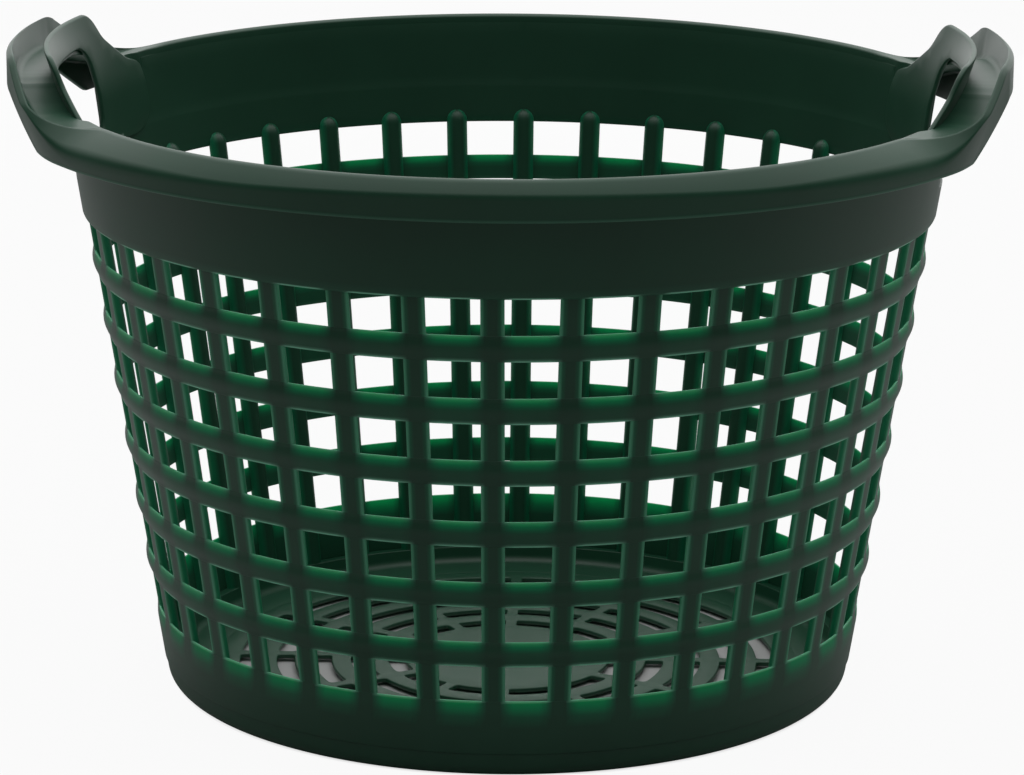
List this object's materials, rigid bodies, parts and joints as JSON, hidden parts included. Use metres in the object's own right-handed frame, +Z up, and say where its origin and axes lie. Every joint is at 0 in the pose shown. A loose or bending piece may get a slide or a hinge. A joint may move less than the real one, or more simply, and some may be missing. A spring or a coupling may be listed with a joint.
{
  "type": "harvest basket",
  "caption": "Round tapered harvest basket with a windowed lattice wall, plain collar, rolled oval rim, slotted floor and two arched gutter handles over hand holes.",
  "frame": {"origin": "on the ground under the middle of the base", "axes": "+Z up, handles on the X axis, front towards -Y"},
  "size_m": [0.4984, 0.4642, 0.326],
  "materials": {
    "moulded_green": "satin"
  },
  "bodies": {
    "root": {"collar": "moulded_green", "heel_band": "moulded_green", "foot_ring": "moulded_green", "base_plate": "moulded_green", "rim_front": "moulded_green", "rim_back": "moulded_green", "hoop_1": "moulded_green", "hoop_2": "moulded_green", "hoop_3": "moulded_green", "hoop_4": "moulded_green", "hoop_5": "moulded_green", "hoop_6": "moulded_green", "left_hand_frame": "moulded_green", "left_outer_band": "moulded_green", "left_grip": "moulded_green", "left_ramp_front": "moulded_green", "left_ramp_back": "moulded_green", "right_hand_frame": "moulded_green", "right_outer_band": "moulded_green", "right_grip": "moulded_green", "right_ramp_front": "moulded_green", "right_ramp_back": "moulded_green", "stave_01": "moulded_green", "stave_02": "moulded_green", "stave_03": "moulded_green", "stave_04": "moulded_green", "stave_05": "moulded_green", "stave_06": "moulded_green", "stave_07": "moulded_green", "stave_08": "moulded_green", "stave_09": "moulded_green", "stave_10": "moulded_green", "stave_11": "moulded_green", "stave_12": "moulded_green", "stave_13": "moulded_green", "stave_14": "moulded_green", "stave_15": "moulded_green", "stave_16": "moulded_green", "stave_17": "moulded_green", "stave_18": "moulded_green", "stave_19": "moulded_green", "stave_20": "moulded_green", "stave_21": "moulded_green", "stave_22": "moulded_green", "stave_23": "moulded_green", "stave_24": "moulded_green", "stave_25": "moulded_green", "stave_26": "moulded_green", "stave_27": "moulded_green", "stave_28": "moulded_green", "stave_29": "moulded_green", "stave_30": "moulded_green", "stave_31": "moulded_green", "stave_32": "moulded_green", "stave_33": "moulded_green", "stave_34": "moulded_green", "stave_35": "moulded_green", "stave_36": "moulded_green"}
  },
  "joints": []
}
